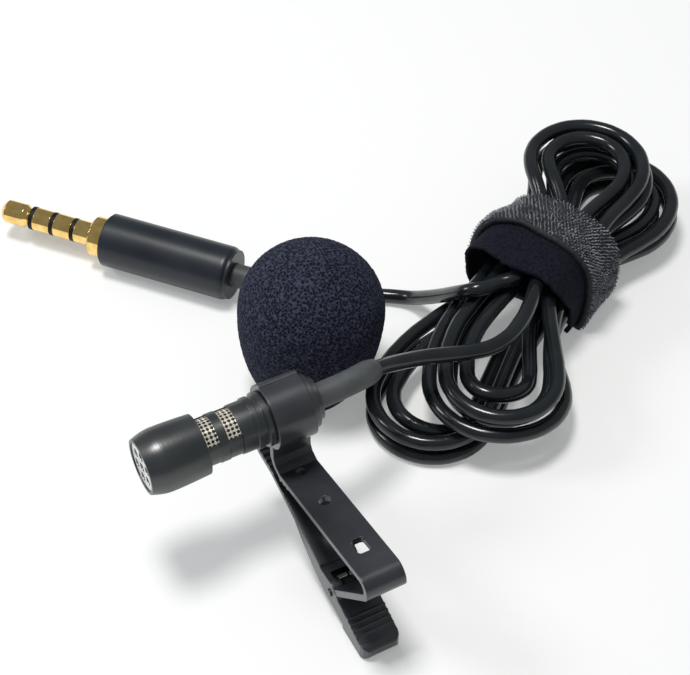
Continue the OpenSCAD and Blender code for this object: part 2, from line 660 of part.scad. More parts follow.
module cable_hank() {
    m = len(hank_way);
    least = min([for (i = [0 : m - 1]) min([for (j = [0 : m - 2]) abs(j - i) < 4 || abs(j + 1 - i) < 4
        ? 99 : to_line(hank_way[i], hank_way[j], hank_way[j + 1])])]);
    echo("hank: least gap of the cable to itself, mm", least - cord_d);
    echo("hank: length, mm", way_len(hank_way));
    color(c_cable) translate(shift)
        swept(hank_way, cord_d / 2, 6, [hank_t0[0], hank_t0[1], 0], [hank_t1[0], hank_t1[1], 0]);
}
function way_len(p) = len(p) < 2 ? 0
    : [for (i = [0 : len(p) - 2]) 1] * [for (i = [0 : len(p) - 2]) norm(p[i + 1] - p[i])];
// From the strain relief over the near loops into the top layer
mic_way = spline(concat([relief_end], [[17.6, 2.6, 16.1], [22.6, 3.1, 14.2], [29.5, 3.5, 12.9],
    [35.4, 3.6, 12.6], [40.2, 3.8, 12.5], [44.2, 5.4, 12.5]], [hank_start]), 2);
module cable_mic_run() {
    echo("microphone run: length, mm", way_len(mic_way));
    color(c_cable) translate(shift)
        swept(mic_way, cord_d / 2, 8, relief_t1, [hank_t0[0], hank_t0[1], 0]);
}
// From the plug along the surface into the lowest layer
plug_at = [-4.67, 54.19];
plug_turn = -49;
plug_dir = [cos(plug_turn), sin(plug_turn)];
stub_end = plug_at + (plug_collar_len + housing_len + stub_len) * plug_dir;
plug_way = spline(concat([[stub_end[0], stub_end[1], plug_h]], [[14.4, 32.4, 3.6], [17.2, 31.2, 2.3],
    [20.6, 30, 1.3], [24.9, 28, 1], [29.1, 25.5, 1], [33, 22.9, 1], [36.3, 21.4, 1.4],
    [38.9, 19.8, 2.1], [41.5, 19.5, 2.7]], [hank_end]), 2);
module cable_plug_run() {
    echo("plug run: length, mm", way_len(plug_way));
    color(c_cable) translate(shift) swept(plug_way, cord_d / 2, 8,
        [plug_dir[0], plug_dir[1], 0], [-hank_t1[0], -hank_t1[1], 0]);
}
// Tie: a band round the waist, a flattened oval in section
tie_n = 40;
tie_low = 0.1;
tie_top = waist_h + 3 * waist_rise + cord_d / 2;
function tie_ring(u, off, half, lift, t) = [for (k = [0 : tie_n - 1])
    let (a = 360 * k / tie_n, x = cos(a), y = sin(a), pw = 3 - 0.5 * x,
        g = pow(pow(abs(x), pw) + pow(abs(y), pw), -1 / pw),
        zi = tie_low + tie_t, zc = (tie_top + zi) / 2, hz = (tie_top - zi) / 2 + 0.1 + t + lift,
        v = off + (half + t) * x * g, e = rot(hank_dir), n = rot(hank_dir + 90),
        xy = hank_c + u * e + v * n)
    [xy[0], xy[1], max(tie_low, zc + hz * y * g)]];
module cable_tie() {
    secs = [[tie_near, -0.7, tie_room, 0.5], [tie_near + tie_w / 2, -0.1, tie_room - 0.5, 0.3],
        [tie_near + tie_w, 1.5, tie_room + 0.2, 1.8]];
    m = len(secs);
    pts = [for (s = secs) each concat(tie_ring(s[0], s[1], s[2], s[3], tie_t),
        tie_ring(s[0], s[1], s[2], s[3], 0))];
    o = function (i, k) i * 2 * tie_n + (k % tie_n);
    q = function (i, k) i * 2 * tie_n + tie_n + (k % tie_n);
    walls = [for (i = [0 : m - 2]) for (k = [0 : tie_n - 1]) each [
        [o(i, k), o(i + 1, k + 1), o(i + 1, k)], [o(i, k), o(i, k + 1), o(i + 1, k + 1)],
        [q(i, k), q(i + 1, k), q(i + 1, k + 1)], [q(i, k), q(i + 1, k + 1), q(i, k + 1)]]];
    ends = [for (k = [0 : tie_n - 1]) each [
        [o(0, k), q(0, k), q(0, k + 1)], [o(0, k), q(0, k + 1), o(0, k + 1)],
        [o(m - 1, k), q(m - 1, k + 1), q(m - 1, k)], [o(m - 1, k), o(m - 1, k + 1), q(m - 1, k + 1)]]];
    color(c_black) translate(shift) polyhedron(points = pts, faces = concat(walls, ends), convexity = 6);
}

// ---- the plug ----
// Places a turned piece on the plug's axis, s from the collar's front face
module on_plug(s) {
    translate(shift + [plug_at[0], plug_at[1], plug_h]) rotate([0, 0, plug_turn]) rotate([0, 90, 0])
        translate([0, 0, s]) children();
}
s_tip = -barrel_len;
s_ins1 = s_tip + tip_len;
s_ring1 = s_ins1 + insul_w;
s_ins2 = s_ring1 + contact_len;
s_ring2 = s_ins2 + insul_w;
s_ins3 = s_ring2 + contact_len;
s_sleeve = s_ins3 + insul_w;
core_bore = core_d + 2 * seat_gap;
module plug_tip() {
    color(c_gold) on_plug(s_tip) difference() {
        union() {
            cylinder(h = tip_len * 0.06, d1 = barrel_d * 0.5, d2 = barrel_d * 0.8);
            translate([0, 0, tip_len * 0.06]) cylinder(h = tip_len * 0.1, d1 = barrel_d * 0.8, d2 = barrel_d);
            translate([0, 0, tip_len * 0.16]) cylinder(h = tip_len * 0.6, d = barrel_d);
            translate([0, 0, tip_len * 0.76]) cylinder(h = tip_len * 0.14, d1 = barrel_d, d2 = barrel_d * 0.74);
            translate([0, 0, tip_len * 0.9]) cylinder(h = tip_len * 0.1, d1 = barrel_d * 0.74, d2 = barrel_d * 0.94);
        }
        translate([0, 0, tip_len / 2]) cylinder(h = tip_len, d = core_bore);
    }
}
module plug_ring_1() {
    color(c_gold) on_plug(s_ring1) tube(contact_len, barrel_d, core_bore);
}
module plug_ring_2() {
    color(c_gold) on_plug(s_ring2) tube(contact_len, barrel_d, core_bore);
}
module plug_sleeve() {
    color(c_gold) difference() {
        union() {
            on_plug(s_sleeve) cylinder(h = -s_sleeve, d = barrel_d);
            on_plug(0) cylinder(h = plug_collar_len * 0.1, d1 = collar_d - 0.5, d2 = collar_d);
            on_plug(plug_collar_len * 0.1) cylinder(h = plug_collar_len * 0.9, d = collar_d);
        }
        on_plug(s_sleeve - 1) cylinder(h = barrel_len + 5, d = core_bore);
    }
}
module plug_insulators() {
    color(c_black) for (s = [s_ins1, s_ins2, s_ins3])
        on_plug(s) tube(insul_w, barrel_d, core_bore);
}
module plug_core() {
    color(c_metal) on_plug(s_tip + tip_len / 2 + seat_gap)
        cylinder(h = barrel_len - tip_len / 2 + plug_collar_len - 2 * seat_gap, d = core_d);
}
module plug_housing() {
    color(c_dark) on_plug(plug_collar_len) difference() {
        rotate_extrude() {
            translate([0, 0.3]) square([housing_d / 2, housing_len - housing_round - 0.3]);
            square([housing_d / 2 - 0.3, housing_len]);
            square([housing_d / 2 - housing_round, housing_len]);
            intersection() {
                translate([housing_d / 2 - housing_round, housing_len - housing_round])
                    circle(r = housing_round);
                square([housing_d, housing_len]);
            }
        }
        translate([0, 0, 1.5]) cylinder(h = housing_len, d = stub_d + 2 * seat_gap);
    }
}
module plug_strain_relief() {
    stub_in = 5;
    color(c_dark) on_plug(plug_collar_len + housing_len - stub_in)
        cylinder(h = stub_in + stub_len, d = stub_d);
}

head_shell();
front_grille();
grille_gasket();
capsule();
capsule_board();
body_tube();
mesh_sleeve();
spacer_ring();
rear_collar();
lead_wires();
strain_relief();
clip_frame();
clip_lever();
pivot_pin();
torsion_spring();
foam_windscreen();
cable_mic_run();
cable_hank();
cable_plug_run();
cable_tie();
plug_tip();
plug_ring_1();
plug_ring_2();
plug_sleeve();
plug_insulators();
plug_core();
plug_housing();
plug_strain_relief();
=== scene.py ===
"""A lavalier microphone with a tie clip and a foam windscreen, its cable tied in a hank."""
import math

import bmesh
import bpy
from mathutils import Matrix, Vector, noise


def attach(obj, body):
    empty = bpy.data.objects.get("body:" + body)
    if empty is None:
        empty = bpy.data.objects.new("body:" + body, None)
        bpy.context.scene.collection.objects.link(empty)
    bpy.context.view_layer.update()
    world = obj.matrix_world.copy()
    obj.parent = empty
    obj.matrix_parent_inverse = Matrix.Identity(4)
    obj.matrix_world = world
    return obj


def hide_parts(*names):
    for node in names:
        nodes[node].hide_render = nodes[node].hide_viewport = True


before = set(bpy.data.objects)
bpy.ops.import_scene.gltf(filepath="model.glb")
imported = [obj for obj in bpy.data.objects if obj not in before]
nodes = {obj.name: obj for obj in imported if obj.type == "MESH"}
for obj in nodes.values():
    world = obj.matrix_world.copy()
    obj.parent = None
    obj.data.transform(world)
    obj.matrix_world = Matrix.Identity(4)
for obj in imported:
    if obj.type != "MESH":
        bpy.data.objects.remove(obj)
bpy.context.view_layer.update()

MM = 0.001


# ---- Camera ----
# A long lens, held level above the front left corner and aimed at a point on the table.
def aim(thing, target):
    """Turns a camera or a lamp towards a point."""
    thing.rotation_euler = (Vector(target) - thing.location).to_track_quat("-Z", "Y").to_euler()


camera = bpy.data.objects.new("camera", bpy.data.cameras.new("camera"))
camera.data.sensor_fit = "HORIZONTAL"
camera.data.sensor_width = 36
camera.data.lens = 87.883
camera.data.clip_start = 0.01
camera.location = (-0.056518, -0.120261, 0.17835)
aim(camera, (0.018412, 0.021779, 0))
bpy.context.scene.collection.objects.link(camera)
bpy.context.scene.camera = camera
bpy.context.scene.view_settings.view_transform = "Standard"


# ---- Table and light ----
# A plain white table top. It is a flat sheet, so the parts' soft shadows show on it. A big soft
# lamp hangs over it, with a weaker one at the back left and a pale room all round.
class Wire:
    """The output of a shader node, which can be used in sums."""

    def __init__(self, finish, socket):
        self.finish, self.socket = finish, socket

    def out(self, name_or_number):
        return Wire(self.finish, self.socket.node.outputs[name_or_number])

    def _sum(self, operation, a, b):
        return self.finish.node("ShaderNodeMath", {"operation": operation}, {0: a, 1: b})

    def __add__(self, other):
        return self._sum("ADD", self, other)

    def __sub__(self, other):
        return self._sum("SUBTRACT", self, other)

    def __rsub__(self, other):
        return self._sum("SUBTRACT", other, self)

    def __mul__(self, other):
        return self._sum("MULTIPLY", self, other)

    __radd__, __rmul__ = __add__, __mul__


# The colour mix has its share, its two colours and its result at these numbers of its sockets
MIX_SHARE, MIX_A, MIX_B, MIX_RESULT = 0, 6, 7, 2
EDGE_SAMPLES = 6


class Finish:
    """A material round one Principled shader, whose plain values are set by their socket's name."""

    def __init__(self, name, **plain):
        self.material = bpy.data.materials.new(name)
        self.material.use_nodes = True
        self.tree = self.material.node_tree
        self.shader = self.tree.nodes["Principled BSDF"]
        self.place = self.node("ShaderNodeTexCoord").out("Object")
        for socket, value in plain.items():
            self.set(socket.replace("_", " "), value)

    def node(self, kind, settings=None, values=None):
        made = self.tree.nodes.new(kind)
        for key, value in (settings or {}).items():
            if key == "stops":
                for element, (at, shade) in zip(made.color_ramp.elements, value):
                    element.position = at
                    element.color = (*(shade if hasattr(shade, "__len__") else [shade] * 3), 1)
            else:
                setattr(made, key, value)
        for key, value in (values or {}).items():
            self.feed(made.inputs[key], value)
        return Wire(self, made.outputs[0])

    def feed(self, socket, value):
        if isinstance(value, Wire):
            self.tree.links.new(value.socket, socket)
        else:
            socket.default_value = (*value, 1) if socket.type == "RGBA" else value

    def set(self, name, value):
        self.feed(self.shader.inputs[name], value)

    def noise(self, size, detail=2, rough=0.5):
        """Grain whose lumps are about size millimetres across."""
        return self.node("ShaderNodeTexNoise", None, {"Vector": self.place, "Scale": 0.5 / (size * MM),
                                                      "Detail": detail, "Roughness": rough})

    def ramp(self, value, low, high):
        """Greys or colours between two stops, each a position and its shade."""
        return self.node("ShaderNodeValToRGB", {"stops": (low, high)}, {0: value})

    def blend(self, share, a, b):
        return self.node("ShaderNodeMix", {"data_type": "RGBA"},
                         {MIX_SHARE: share, MIX_A: a, MIX_B: b}).out(MIX_RESULT)

    def bump(self, height, depth, strength=1.0, under=None):
        """Relief of depth millimetres where height runs from 0 to 1."""
        values = {"Height": height, "Distance": depth * MM, "Strength": strength}
        if under:
            values["Normal"] = under
        return self.node("ShaderNodeBump", None, values)

    def round_edges(self, radius):
        """Sharp edges catch the light as if they were rounded by radius millimetres."""
        return self.node("ShaderNodeBevel", {"samples": EDGE_SAMPLES}, {"Radius": radius * MM})

    def on(self, *pieces):
        """Gives the finish to pieces, or to nodes by name."""
        for piece in pieces:
            materials = (nodes[piece] if isinstance(piece, str) else piece).data.materials
            materials.clear()
            materials.append(self.material)


def as_piece(name, mesh_in_work, smooth=True):
    """Turns a bmesh into a linked object at the origin."""
    mesh = bpy.data.meshes.new(name)
    mesh_in_work.to_mesh(mesh)
    mesh_in_work.free()
    for face in mesh.polygons:
        face.use_smooth = smooth
    piece = bpy.data.objects.new(name, mesh)
    bpy.context.scene.collection.objects.link(piece)
    return piece


TABLE_REACH, TABLE_DROP = 1.6, 0.00002
TABLE_WHITE, TABLE_GLOW, TABLE_GLOW_TINT = (0.74, 0.74, 0.735), 0.27, (0.98, 1.0, 0.99)
bm = bmesh.new()
bmesh.ops.create_grid(bm, x_segments=4, y_segments=4, size=TABLE_REACH)
table = as_piece("table_top", bm)
table.location.z = -TABLE_DROP
white = Finish("table_white", Base_Color=TABLE_WHITE, Roughness=0.55, Specular_IOR_Level=0.25)
# The camera, gloss and glass see the table whiter, and it throws no more light on the parts
rays = white.node("ShaderNodeLightPath")
seen = rays.out("Is Camera Ray") + rays.out("Is Glossy Ray") + rays.out("Is Transmission Ray")
glow = white.node("ShaderNodeEmission", None, {"Color": TABLE_GLOW_TINT, "Strength": seen * TABLE_GLOW})
surface = white.node("ShaderNodeAddShader", None, {0: Wire(white, white.shader.outputs[0]), 1: glow})
white.feed(white.tree.nodes["Material Output"].inputs["Surface"], surface)
white.on(table)

ROOM_TINT, ROOM_STRENGTH = (0.93, 0.97, 1.0, 1), 0.26
room = bpy.data.worlds.new("room")
bpy.context.scene.world = room
room.use_nodes = True
room.node_tree.nodes["Background"].inputs["Color"].default_value = ROOM_TINT
room.node_tree.nodes["Background"].inputs["Strength"].default_value = ROOM_STRENGTH

LAMPS_AIM = (0.01, 0.01, 0)


def soft_lamp(name, place, size, watts, tint):
    light = bpy.data.lights.new(name, "AREA")
    light.shape = "DISK"
    light.size, light.energy, light.color = size, watts, tint
    lamp = bpy.data.objects.new(name, light)
    lamp.location = place
    aim(lamp, LAMPS_AIM)
    bpy.context.scene.collection.objects.link(lamp)


soft_lamp("lamp_over", (-0.05, 0.08, 0.6), 0.16, 2.25, (1.0, 0.99, 0.97))
soft_lamp("lamp_left", (-0.4, 0.3, 0.4), 0.2, 1.1, (0.94, 0.97, 1.0))

# ---- Microphone head ----
# A turned aluminium shell, anodised satin black, pressed on the neck of the body tube. Its front
# plate is bare metal with a ring of sound holes over a felt gasket, and the capsule sits behind it
# on a small board with two leads.
black_satin = Finish("black_anodised", Specular_IOR_Level=0.95)
grain = black_satin.noise(0.12, 3)
cloud = black_satin.noise(2.2, 2)
black_satin.set("Base Color", black_satin.ramp(cloud, (0.3, (0.014, 0.018, 0.02)),
                                               (0.75, (0.026, 0.032, 0.034))))
black_satin.set("Roughness", 0.24 + 0.14 * cloud + 0.04 * grain)
black_satin.set("Normal", black_satin.bump(grain, 0.006, 0.5, black_satin.round_edges(0.12)))
black_satin.on("head_shell", "spacer_ring", "body_tube", "rear_collar")

bare = Finish("bare_aluminium", Metallic=1.0)
scratch = bare.noise(0.07, 2)
dull = bare.noise(1.1, 3)
bare.set("Base Color", bare.ramp(dull, (0.3, (0.52, 0.53, 0.5)), (0.7, (0.84, 0.85, 0.83))))
bare.set("Roughness", 0.26 + 0.2 * scratch)
bare.set("Normal", bare.bump(scratch, 0.01, 0.6, bare.round_edges(0.06)))
bare.on("front_grille", "capsule", "plug_core")

felt = Finish("black_felt", Base_Color=(0.006, 0.006, 0.007), Roughness=0.95, Specular_IOR_Level=0.2)
felt.set("Normal", felt.bump(felt.noise(0.15, 3), 0.05))
felt.on("grille_gasket")

board = Finish("circuit_board", Roughness=0.45)
board.set("Base Color", board.ramp(board.noise(0.8, 2), (0.45, (0.01, 0.09, 0.03)),
                                   (0.55, (0.02, 0.16, 0.05))))
board.on("capsule_board")

lead = Finish("lead_insulation", Roughness=0.4)
lead.set("Base Color", lead.ramp(lead.noise(0.5, 1), (0.3, (0.3, 0.015, 0.01)),
                                 (0.7, (0.42, 0.03, 0.02))))
lead.on("lead_wires")

# ---- Mesh band ----
# A sleeve of fine woven steel wire shows through the two windows of the tube, bright on the
# knuckles of the wires. The gaps between them are near black: the dark inside of the tube, with
# its shade painted in.
MESH_R, MESH_PITCH = 2.88, 0.56
MESH_MIDDLE = (-0.00178787, -0.00050136, 0.0191)
WIRE_BRIGHT, GAP_INSIDE_AND_SHADE = (1.0, 0.93, 0.78), (0.006, 0.006, 0.006)

steel_mesh = Finish("woven_steel", Metallic=1.0)
centred = steel_mesh.node("ShaderNodeMapping", None,
                          {"Vector": steel_mesh.place, "Location": [-c for c in MESH_MIDDLE]})
part = steel_mesh.node("ShaderNodeSeparateXYZ", None, {0: centred})
turn = steel_mesh.node("ShaderNodeMath", {"operation": "ARCTAN2"}, {0: part.out("Y"), 1: part.out("Z")})
across = turn * (MESH_R / MESH_PITCH * math.pi)
along = part.out("X") * (1 / (MESH_PITCH * MM) * math.pi)


def sine(value):
    return steel_mesh.node("ShaderNodeMath", {"operation": "SINE"}, {0: value})


knuckle = sine(across + along) * sine(across - along)
lit = steel_mesh.node("ShaderNodeMapRange", {"interpolation_type": "SMOOTHSTEP"},
                      {"Value": knuckle, "From Min": -0.25, "From Max": 0.1})
# The colour between the wires is the tube's black inside with its shade painted in, not a part of the
# weave.
steel_mesh.set("Base Color", steel_mesh.blend(lit, GAP_INSIDE_AND_SHADE, WIRE_BRIGHT))
steel_mesh.set("Metallic", 0.55 * lit)
steel_mesh.set("Roughness", 0.6 - 0.38 * lit)
steel_mesh.set("Normal", steel_mesh.bump(lit, 0.12))
steel_mesh.on("mesh_sleeve")

# ---- Clip ----
# Stamped spring steel, bent to shape and painted satin black: a ring on the tube, an upper arm with
# its nose, a lever with the lower jaw, a rivet pin and a wire spring.
clip_black = Finish("clip_paint", Specular_IOR_Level=0.8)
orange_peel = clip_black.noise(0.35, 2)
smudge = clip_black.noise(3.5, 3)
clip_black.set("Base Color", clip_black.ramp(smudge, (0.3, (0.018, 0.02, 0.025)),
                                             (0.75, (0.036, 0.04, 0.048))))
clip_black.set("Roughness", 0.2 + 0.2 * smudge)
clip_black.set("Normal", clip_black.bump(orange_peel, 0.012, 0.6, clip_black.round_edges(0.22)))
clip_black.on("clip_frame", "clip_lever", "pivot_pin")

wire_steel = Finish("spring_wire", Metallic=0.6)
draw_lines = wire_steel.noise(0.1, 2)
wire_steel.set("Base Color", wire_steel.ramp(draw_lines, (0.3, (0.012, 0.012, 0.013)),
                                             (0.7, (0.03, 0.03, 0.032))))
wire_steel.set("Roughness", 0.4 + 0.2 * draw_lines)

# The spring, the strain relief, the cable and the tie are laid out in millimetres from the point on
# the table below the middle of the clip's ring. This step takes them to the frame's own origin
SHIFT = Vector((-1.78787, -0.501363, 0))


def spline(points, steps):
    """Points of a smooth curve through the given ones, steps to each stretch."""
    made = []
    last = len(points) - 1
    for i in range(last):
        a, b, c, d = (Vector(points[min(max(j, 0), last)]) for j in (i - 1, i, i + 1, i + 2))
        for k in range(steps):
            t = k / steps
            made.append(0.5 * (2 * b + t * (c - a) + t * t * (2 * a - 5 * b + 4 * c - d)
                               + t * t * t * (3 * b - a - 3 * c + d)))
    return made + [Vector(points[last])]


def edges_of(verts):
    """The edges at some corners, each once and always in the same order."""
    return list(dict.fromkeys(e for v in verts for e in v.link_edges))


def sleeve(bm, path, radii, first, last, sides=48):
    """Rings of the given radii square to a path, joined and closed at both ends.

    The first and last rings are square to the ways given for them.
    """
    rings = []
    for i, (at, radius) in enumerate(zip(path, radii)):
        way = first if i == 0 else last if i == len(path) - 1 else path[i + 1] - path[i - 1]
        turn = Vector(way).to_track_quat("Z", "Y").to_matrix().to_4x4()
        ring = bmesh.ops.create_circle(bm, cap_ends=False, segments=sides, radius=radius * MM,
                                       matrix=Matrix.Translation((at + SHIFT) * MM) @ turn)["verts"]
        rings.append(edges_of(ring))
    for a, b in zip(rings, rings[1:]):
        bmesh.ops.bridge_loops(bm, edges=a + b)
    for end in (rings[0], rings[-1]):
        bmesh.ops.holes_fill(bm, edges=end)
    bmesh.ops.recalc_face_normals(bm, faces=bm.faces[:])


PIVOT, COIL_R, COIL_REACH, WIRE_D = Vector((0, -17, 3.6)), 0.95, 0.8, 0.31
# The coil starts at the angle at which its first leg runs straight on from it
COIL_START, COIL_TURNS, COIL_OVER, COIL_STEPS = 237.8, 5, 48.2, 80
FIRST_LEG_WAY, FIRST_LEG_AT = Vector((0, -0.846, 0.533)), (1.8, 0.9)
LAST_LEG = Vector((0, 1.6, 0.6)), Vector((0, 4, 1.7))


def coil_point(i):
    turn = math.radians(COIL_START + (360 * COIL_TURNS + COIL_OVER) * i / COIL_STEPS)
    aside = COIL_REACH * (2 * i / COIL_STEPS - 1)
    return PIVOT + Vector((aside, COIL_R * math.cos(turn), COIL_R * math.sin(turn)))


coil = [coil_point(i) for i in range(COIL_STEPS + 1)]
spring_line = [coil[0] + FIRST_LEG_WAY * out for out in FIRST_LEG_AT] + coil
spring_line += [coil[-1] + out for out in LAST_LEG]
bm = bmesh.new()
sleeve(bm, spring_line, [WIRE_D / 2] * len(spring_line), spring_line[1] - spring_line[0],
       spring_line[-1] - spring_line[-2], 10)
spring = as_piece("coiled_spring", bm)
wire_steel.on(spring)
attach(spring, "clip_lever")
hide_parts("torsion_spring")

# ---- Foam windscreen ----
# An egg of fine open-cell foam, cut flat below where it stands, with the blind hole that the
# microphone's head goes into. Its skin is rough with cells about 0.4 mm across.
FOAM_AT = Vector((0.00941213, 0.01669864, 0))
FOAM_R, FOAM_MID, FOAM_LOW, FOAM_H = 0.00985, 0.0143, 0.0174, 0.0239
FOAM_LEAN = Matrix.Rotation(math.radians(8), 3, "Z") @ Matrix.Rotation(math.radians(5.5), 3, "Y")
FOAM_FOOT, FOAM_HOLE_R, FOAM_MOUTH_R = 0.0001, 0.0035, 0.0042
FOAM_HOLE_STEPS = ((0.008, 1.0), (0.0148, 0.97), (0.015, 0.86))
CELL, FINE_CELL, FINE_SHARE, CELL_DEPTH = 0.00042, 0.00023, 0.6, 0.00007

bm = bmesh.new()
bmesh.ops.create_icosphere(bm, subdivisions=7, radius=1)
for v in bm.verts:
    high = FOAM_H - FOAM_MID if v.co.z > 0 else FOAM_LOW
    v.co = FOAM_AT + FOAM_LEAN @ Vector((v.co.x * FOAM_R, v.co.y * FOAM_R, FOAM_MID + v.co.z * high))
cut = bmesh.ops.bisect_plane(bm, geom=bm.verts[:] + bm.edges[:] + bm.faces[:],
                             plane_co=(0, 0, FOAM_FOOT), plane_no=(0, 0, -1), clear_outer=True)
rim = [e for e in cut["geom_cut"] if isinstance(e, bmesh.types.BMEdge)]
hole = bmesh.ops.create_circle(bm, cap_ends=False, segments=96, radius=FOAM_HOLE_R,
                               matrix=Matrix.Translation(FOAM_AT + Vector((0, 0, FOAM_FOOT))))["verts"]
ring = edges_of(hole)
bmesh.ops.bridge_loops(bm, edges=rim + ring)
for depth, width in FOAM_HOLE_STEPS:
    rise = bmesh.ops.extrude_edge_only(bm, edges=ring)["geom"]
    ring = [e for e in rise if isinstance(e, bmesh.types.BMEdge)]
    for v in (v for v in rise if isinstance(v, bmesh.types.BMVert)):
        flat = (v.co - FOAM_AT).to_2d().normalized() * FOAM_HOLE_R * width
        v.co = FOAM_AT + Vector((flat.x, flat.y, depth))
bmesh.ops.holes_fill(bm, edges=ring)
bmesh.ops.recalc_face_normals(bm, faces=bm.faces[:])
bm.normal_update()
for v in bm.verts:
    if v.co.z > 2 * FOAM_FOOT and (v.co - FOAM_AT).to_2d().length > FOAM_MOUTH_R:
        cells = noise.noise(v.co / CELL) + FINE_SHARE * noise.noise(v.co / FINE_CELL + Vector((9, 4, 2)))
        v.co += v.normal * CELL_DEPTH * cells
foam = as_piece("windscreen_foam", bm)

open_cell = Finish("open_cell_foam", Roughness=0.95, Specular_IOR_Level=0.1, Sheen_Weight=0.03,
                   Sheen_Roughness=0.5, Sheen_Tint=(0.45, 0.5, 0.75))
pores = open_cell.node("ShaderNodeTexVoronoi", {"feature": "F1"},
                       {"Vector": open_cell.place, "Scale": 1 / (0.34 * MM), "Randomness": 1.0})
skin = open_cell.noise(0.16, 3, rough=0.7)
patch = open_cell.noise(5, 2)
pore_depth_and_shade = pores * 0.7 + skin * 0.6
# Near black in the low parts of the cells: painted shade in the hollows of the pores, over the foam's
# own blue-black.
open_cell.set("Base Color", open_cell.blend(
    open_cell.ramp(pore_depth_and_shade, (0.5, 0.0), (0.9, 1.0)), (0.005, 0.0058, 0.01),
    open_cell.blend(patch, (0.047, 0.052, 0.086), (0.068, 0.074, 0.118))))
open_cell.set("Normal", open_cell.bump(pore_depth_and_shade, 0.16))
open_cell.on(foam)
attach(foam, "windscreen")
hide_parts("foam_windscreen")

# ---- Strain relief ----
# A soft black sleeve moulded round the cable where it leaves the microphone, tapered so that the
# cable can't kink there.
RELIEF_WAY = ((4.22, 0, 19.1), (7.42, 0.05, 19.1), (10.42, 0.5, 18.8), (13.42, 1.5, 18.0))
RELIEF_R, RELIEF_KNEE_R, RELIEF_TIP_R = 2.5, 2.2, 1.35
# How much thinner it gets before and after the knee, how the second part bends, and what the
# rounding changes at each end
RELIEF_TAPERS, RELIEF_BEND, RELIEF_ROUNDINGS = (0.3, 0.85), 0.8, (0.35, 0.3)
# The shares of its length before and after the knee, and in the rounding of each end
RELIEF_KNEE, RELIEF_REST, RELIEF_ROUND = 0.62, 0.38, 0.03


def relief_radius(share):
    """The sleeve's radius at a share from 0 to 1 of its length."""
    if share < RELIEF_KNEE:
        radius = RELIEF_R - RELIEF_TAPERS[0] * share / RELIEF_KNEE
    else:
        radius = RELIEF_KNEE_R - RELIEF_TAPERS[1] * ((share - RELIEF_KNEE) / RELIEF_REST) ** RELIEF_BEND
    front = RELIEF_R - RELIEF_ROUNDINGS[0] * max(0, (RELIEF_ROUND - share) / RELIEF_ROUND) ** 2
    back = RELIEF_TIP_R + RELIEF_ROUNDINGS[1] * min(1, (1.0 - share) / RELIEF_ROUND)
    return min(radius, front, back)


relief_line = spline(RELIEF_WAY, 16)
bm = bmesh.new()
sleeve(bm, relief_line, [relief_radius(i / (len(relief_line) - 1)) for i in range(len(relief_line))],
       (1, 0, 0), (3, 1.15, -1.1))
boot = as_piece("strain_relief_sleeve", bm)
rubber = Finish("moulded_rubber", Roughness=0.55, Specular_IOR_Level=0.45)
bloom = rubber.noise(1.6, 3)
rubber.set("Base Color", rubber.ramp(bloom, (0.3, (0.062, 0.067, 0.07)), (0.75, (0.105, 0.113, 0.117))))
rubber.set("Roughness", 0.42 + 0.2 * bloom)
rubber.set("Normal", rubber.bump(rubber.noise(0.1, 3), 0.012, 0.7))
rubber.on(boot)
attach(boot, "microphone")
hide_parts("strain_relief")

# ---- Cable ----
# Some 1.1 m of glossy 2.1 mm PVC cable. It leaves the strain relief, crosses the near loops, runs
# through seven and a half loops of a hank, four layers deep, and goes along the table to the plug.
CABLE_D = 2.1
HANK_C, HANK_DIR, HANK_RUN, REACH_IN = (50.65, 16.75), 17, 3, 0.42
HANK_STEP, WAIST_STEP, WAIST_H, WAIST_RISE = 2.65, 3.15, 2.8, 2.65
# The round end of each layer's loops, from the table up: how far out and how far aside its middle
# lies, its radius, its own turn in degrees and its height
NEAR_LOBES = ((26.6, 0, 10, 14, 1), (26.3, 0.3, 10, 14, 3.7),
              (21.6, 2.7, 8.7, 24, 6.5), (22.4, 3.1, 9.4, 24, 9.2))
FAR_LOBES = ((14, -1, 9, 12, 3.4), (13.6, -0.3, 9, 18, 6.3),
             (12.6, 0.2, 8.8, 24, 9.3), (11.8, 1.2, 8.8, 30, 12.4))
# How each layer is turned on the hank, and how far its strands lie aside at the waist
LAYER_TURN, WAIST = (8, 8, 17.5, 19), (6, 6.4, 6.1, 5.3)
# The shares of a half loop between which it goes round the lobe
LOBE_FROM, LOBE_TO = 0.25, 0.75
# How a half loop moves down a layer: where it starts to shift and for how long, where it starts to
# sink and for how long, and how many steps inwards it bulges half way
INNER_MOVE, OUTER_MOVE = (0.2, 0.5, 0.42, 0.45, 0.28), (0.75, 0.25, 0.5, 0.38, -0.25)


def ease(x):
    return (1 - math.cos(math.pi * min(1, max(0, x)))) / 2


def heading(degrees):
    return Vector((math.cos(math.radians(degrees)), math.sin(math.radians(degrees))))


def mixed(a, b, share):
    return a * (1 - share) + b * share


